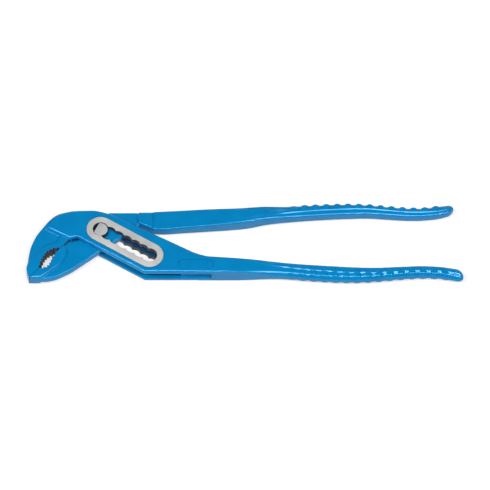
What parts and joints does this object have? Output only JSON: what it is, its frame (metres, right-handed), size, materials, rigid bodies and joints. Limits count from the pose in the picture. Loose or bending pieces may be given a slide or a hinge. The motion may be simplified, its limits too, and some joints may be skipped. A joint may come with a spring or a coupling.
{
  "type": "water pump pliers",
  "caption": "Slip-joint pliers with toothed curved jaws; the bolt shifts along a notched slot to set the jaw opening, and ribbed handles close the jaws.",
  "frame": {"origin": "middle of the bounding box, on the plane of the rear boss face that the tool lies on", "axes": "+X along the handles from the jaws to the grips, +Y across the tool towards the inner half's handle, +Z through the thickness towards the pictured face"},
  "size_m": [0.2496, 0.0518, 0.0116],
  "materials": {
    "slotted_half_lacquer": "smooth semi-gloss blue lacquer, ground bare round the slot",
    "inner_half_lacquer": "smooth semi-gloss blue lacquer",
    "bolt_steel": "bare ground steel"
  },
  "bodies": {
    "slotted_half": {"slotted_jaw_handle": "slotted_half_lacquer"},
    "bolt": {"pivot_bolt": "bolt_steel"},
    "inner_half": {"inner_jaw_handle": "inner_half_lacquer"}
  },
  "joints": [
    {"name": "notch_slide", "type": "slide", "parent": "slotted_half", "child": "bolt", "axis": [0.8499, -0.527, 0], "range_m": [0, 0.033]},
    {"name": "jaw_hinge", "type": "hinge", "parent": "bolt", "child": "inner_half", "pos_m": [-0.08257, 0.0064, 0.0058], "axis": [0, 0, 1], "range_deg": [0, 80]}
  ]
}
